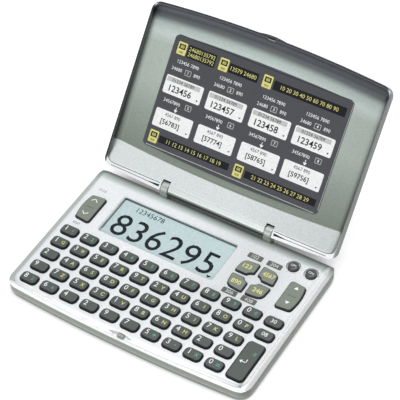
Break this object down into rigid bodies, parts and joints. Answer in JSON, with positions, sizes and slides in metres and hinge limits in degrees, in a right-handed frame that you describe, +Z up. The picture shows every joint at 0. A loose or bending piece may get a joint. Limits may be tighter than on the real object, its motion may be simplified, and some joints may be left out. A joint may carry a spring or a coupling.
{
  "type": "electronic dictionary",
  "caption": "Pocket electronic dictionary with a keyboard and display in the base and a shallow hinged lid that carries a printed reference card",
  "frame": {"origin": "middle of the flat underside of the base, between its front and back edges and its left and right sides", "axes": "+X to the user's right, +Y from the user towards the hinge, +Z up out of the keyboard; the lid is stored open on its stop"},
  "size_m": [0.128, 0.1416, 0.0755],
  "materials": {
    "case": "moulded grey-green, fine grain",
    "silver_panel": "silver satin lacquer",
    "silver_lid": "silver satin lacquer",
    "window": "clear",
    "lcd": "polarising film",
    "black_frame": "moulded",
    "rubber_black": "moulded",
    "keymat": "moulded",
    "board": "solder mask",
    "chips": "moulded epoxy",
    "contacts": "plated spring steel",
    "screws": "plated",
    "ring_metal": "plated",
    "steel": "drawn",
    "cell": "plated",
    "lid_inner": "moulded grey-green, fine grain",
    "card": "printed sheet",
    "key_dark": "moulded",
    "key_grey": "moulded"
  },
  "bodies": {
    "base": {"base_bottom_case": "case", "base_top_panel": "silver_panel", "display_window": "window", "lcd_panel": "lcd", "lcd_frame": "black_frame", "lcd_connector": "rubber_black", "keymat": "keymat", "circuit_board": "board", "circuit_chips": "chips", "battery_cover": "case", "battery_contacts": "contacts", "case_screws": "screws", "rubber_feet": "rubber_black", "button_rings": "ring_metal", "latch_hook": "case", "hinge_pins": "steel", "hinge_knuckle_left": "case", "battery_cell_left": "cell", "hinge_knuckle_right": "case", "battery_cell_right": "cell"},
    "lid": {"hinge_barrel": "lid_inner", "lid_outer_cover": "silver_lid", "lid_inner_panel": "lid_inner", "lid_card": "card"},
    "key_r1_c01": {"key_r1_c01": "key_dark"},
    "key_r1_c02": {"key_r1_c02": "key_dark"},
    "key_r1_c03": {"key_r1_c03": "key_dark"},
    "key_r1_c04": {"key_r1_c04": "key_dark"},
    "key_r1_c05": {"key_r1_c05": "key_dark"},
    "key_r1_c06": {"key_r1_c06": "key_dark"},
    "key_r1_c07": {"key_r1_c07": "key_dark"},
    "key_r1_c08": {"key_r1_c08": "key_dark"},
    "key_r1_c09": {"key_r1_c09": "key_dark"},
    "key_r1_c10": {"key_r1_c10": "key_dark"},
    "key_r1_c11": {"key_r1_c11": "key_dark"},
    "key_r2_c01": {"key_r2_c01": "key_dark"},
    "key_r2_c02": {"key_r2_c02": "key_dark"},
    "key_r2_c03": {"key_r2_c03": "key_dark"},
    "key_r2_c04": {"key_r2_c04": "key_dark"},
    "key_r2_c05": {"key_r2_c05": "key_dark"},
    "key_r2_c06": {"key_r2_c06": "key_dark"},
    "key_r2_c07": {"key_r2_c07": "key_dark"},
    "key_r2_c08": {"key_r2_c08": "key_dark"},
    "key_r2_c09": {"key_r2_c09": "key_dark"},
    "key_r2_c10": {"key_r2_c10": "key_dark"},
    "key_r2_c11": {"key_r2_c11": "key_dark"},
    "key_row_3": {"key_row_3": "key_dark"},
    "key_row_4": {"key_row_4": "key_dark"},
    "key_row_5": {"key_row_5": "key_dark"},
    "enter_key": {"enter_key": "key_dark"},
    "rocker_left": {"rocker_left": "key_grey"},
    "rocker_right": {"rocker_right": "key_grey"},
    "mode_key_1": {"mode_key_1": "key_grey"},
    "mode_key_2": {"mode_key_2": "key_grey"},
    "mode_key_3": {"mode_key_3": "key_grey"},
    "mode_key_4": {"mode_key_4": "key_grey"},
    "round_button_left": {"round_button_left": "key_dark"},
    "round_button_right": {"round_button_right": "key_dark"}
  },
  "joints": [
    {"name": "lid_hinge", "type": "hinge", "parent": "base", "child": "lid", "pos_m": [0, 0.04, 0.0093], "axis": [1, 0, 0], "range_deg": [0, 131.3]},
    {"name": "key_r1_c01_press", "type": "slide", "parent": "base", "child": "key_r1_c01", "axis": [0, 0, -1], "range_m": [0, 0.0005], "stiffness_N_per_m": 300, "springref_m": -0.0003},
    {"name": "key_r1_c02_press", "type": "slide", "parent": "base", "child": "key_r1_c02", "axis": [0, 0, -1], "range_m": [0, 0.0005], "stiffness_N_per_m": 300, "springref_m": -0.0003},
    {"name": "key_r1_c03_press", "type": "slide", "parent": "base", "child": "key_r1_c03", "axis": [0, 0, -1], "range_m": [0, 0.0005], "stiffness_N_per_m": 300, "springref_m": -0.0003},
    {"name": "key_r1_c04_press", "type": "slide", "parent": "base", "child": "key_r1_c04", "axis": [0, 0, -1], "range_m": [0, 0.0005], "stiffness_N_per_m": 300, "springref_m": -0.0003},
    {"name": "key_r1_c05_press", "type": "slide", "parent": "base", "child": "key_r1_c05", "axis": [0, 0, -1], "range_m": [0, 0.0005], "stiffness_N_per_m": 300, "springref_m": -0.0003},
    {"name": "key_r1_c06_press", "type": "slide", "parent": "base", "child": "key_r1_c06", "axis": [0, 0, -1], "range_m": [0, 0.0005], "stiffness_N_per_m": 300, "springref_m": -0.0003},
    {"name": "key_r1_c07_press", "type": "slide", "parent": "base", "child": "key_r1_c07", "axis": [0, 0, -1], "range_m": [0, 0.0005], "stiffness_N_per_m": 300, "springref_m": -0.0003},
    {"name": "key_r1_c08_press", "type": "slide", "parent": "base", "child": "key_r1_c08", "axis": [0, 0, -1], "range_m": [0, 0.0005], "stiffness_N_per_m": 300, "springref_m": -0.0003},
    {"name": "key_r1_c09_press", "type": "slide", "parent": "base", "child": "key_r1_c09", "axis": [0, 0, -1], "range_m": [0, 0.0005], "stiffness_N_per_m": 300, "springref_m": -0.0003},
    {"name": "key_r1_c10_press", "type": "slide", "parent": "base", "child": "key_r1_c10", "axis": [0, 0, -1], "range_m": [0, 0.0005], "stiffness_N_per_m": 300, "springref_m": -0.0003},
    {"name": "key_r1_c11_press", "type": "slide", "parent": "base", "child": "key_r1_c11", "axis": [0, 0, -1], "range_m": [0, 0.0005], "stiffness_N_per_m": 300, "springref_m": -0.0003},
    {"name": "key_r2_c01_press", "type": "slide", "parent": "base", "child": "key_r2_c01", "axis": [0, 0, -1], "range_m": [0, 0.0005], "stiffness_N_per_m": 300, "springref_m": -0.0003},
    {"name": "key_r2_c02_press", "type": "slide", "parent": "base", "child": "key_r2_c02", "axis": [0, 0, -1], "range_m": [0, 0.0005], "stiffness_N_per_m": 300, "springref_m": -0.0003},
    {"name": "key_r2_c03_press", "type": "slide", "parent": "base", "child": "key_r2_c03", "axis": [0, 0, -1], "range_m": [0, 0.0005], "stiffness_N_per_m": 300, "springref_m": -0.0003},
    {"name": "key_r2_c04_press", "type": "slide", "parent": "base", "child": "key_r2_c04", "axis": [0, 0, -1], "range_m": [0, 0.0005], "stiffness_N_per_m": 300, "springref_m": -0.0003},
    {"name": "key_r2_c05_press", "type": "slide", "parent": "base", "child": "key_r2_c05", "axis": [0, 0, -1], "range_m": [0, 0.0005], "stiffness_N_per_m": 300, "springref_m": -0.0003},
    {"name": "key_r2_c06_press", "type": "slide", "parent": "base", "child": "key_r2_c06", "axis": [0, 0, -1], "range_m": [0, 0.0005], "stiffness_N_per_m": 300, "springref_m": -0.0003},
    {"name": "key_r2_c07_press", "type": "slide", "parent": "base", "child": "key_r2_c07", "axis": [0, 0, -1], "range_m": [0, 0.0005], "stiffness_N_per_m": 300, "springref_m": -0.0003},
    {"name": "key_r2_c08_press", "type": "slide", "parent": "base", "child": "key_r2_c08", "axis": [0, 0, -1], "range_m": [0, 0.0005], "stiffness_N_per_m": 300, "springref_m": -0.0003},
    {"name": "key_r2_c09_press", "type": "slide", "parent": "base", "child": "key_r2_c09", "axis": [0, 0, -1], "range_m": [0, 0.0005], "stiffness_N_per_m": 300, "springref_m": -0.0003},
    {"name": "key_r2_c10_press", "type": "slide", "parent": "base", "child": "key_r2_c10", "axis": [0, 0, -1], "range_m": [0, 0.0005], "stiffness_N_per_m": 300, "springref_m": -0.0003},
    {"name": "key_r2_c11_press", "type": "slide", "parent": "base", "child": "key_r2_c11", "axis": [0, 0, -1], "range_m": [0, 0.0005], "stiffness_N_per_m": 300, "springref_m": -0.0003},
    {"name": "key_row_3_press", "type": "slide", "parent": "base", "child": "key_row_3", "axis": [0, 0, -1], "range_m": [0, 0.0005], "stiffness_N_per_m": 300, "springref_m": -0.0003},
    {"name": "key_row_4_press", "type": "slide", "parent": "base", "child": "key_row_4", "axis": [0, 0, -1], "range_m": [0, 0.0005], "stiffness_N_per_m": 300, "springref_m": -0.0003},
    {"name": "key_row_5_press", "type": "slide", "parent": "base", "child": "key_row_5", "axis": [0, 0, -1], "range_m": [0, 0.0005], "stiffness_N_per_m": 300, "springref_m": -0.0003},
    {"name": "enter_key_press", "type": "slide", "parent": "base", "child": "enter_key", "axis": [0, 0, -1], "range_m": [0, 0.0005], "stiffness_N_per_m": 300, "springref_m": -0.0003},
    {"name": "mode_key_1_press", "type": "slide", "parent": "base", "child": "mode_key_1", "axis": [0, 0, -1], "range_m": [0, 0.0005], "stiffness_N_per_m": 300, "springref_m": -0.0003},
    {"name": "mode_key_2_press", "type": "slide", "parent": "base", "child": "mode_key_2", "axis": [0, 0, -1], "range_m": [0, 0.0005], "stiffness_N_per_m": 300, "springref_m": -0.0003},
    {"name": "mode_key_3_press", "type": "slide", "parent": "base", "child": "mode_key_3", "axis": [0, 0, -1], "range_m": [0, 0.0005], "stiffness_N_per_m": 300, "springref_m": -0.0003},
    {"name": "mode_key_4_press", "type": "slide", "parent": "base", "child": "mode_key_4", "axis": [0, 0, -1], "range_m": [0, 0.0005], "stiffness_N_per_m": 300, "springref_m": -0.0003},
    {"name": "round_button_left_press", "type": "slide", "parent": "base", "child": "round_button_left", "axis": [0, 0, -1], "range_m": [0, 0.0005], "stiffness_N_per_m": 300, "springref_m": -0.0003},
    {"name": "round_button_right_press", "type": "slide", "parent": "base", "child": "round_button_right", "axis": [0, 0, -1], "range_m": [0, 0.0005], "stiffness_N_per_m": 300, "springref_m": -0.0003},
    {"name": "rocker_left_tilt", "type": "hinge", "parent": "base", "child": "rocker_left", "pos_m": [-0.0538, 0.01245, 0.006], "axis": [1, 0, 0], "range_deg": [-2.4, 2.4], "stiffness_Nm_per_rad": 0.02},
    {"name": "rocker_right_tilt", "type": "hinge", "parent": "base", "child": "rocker_right", "pos_m": [0.0557, 0.01245, 0.006], "axis": [1, 0, 0], "range_deg": [-2.4, 2.4], "stiffness_Nm_per_rad": 0.02}
  ]
}
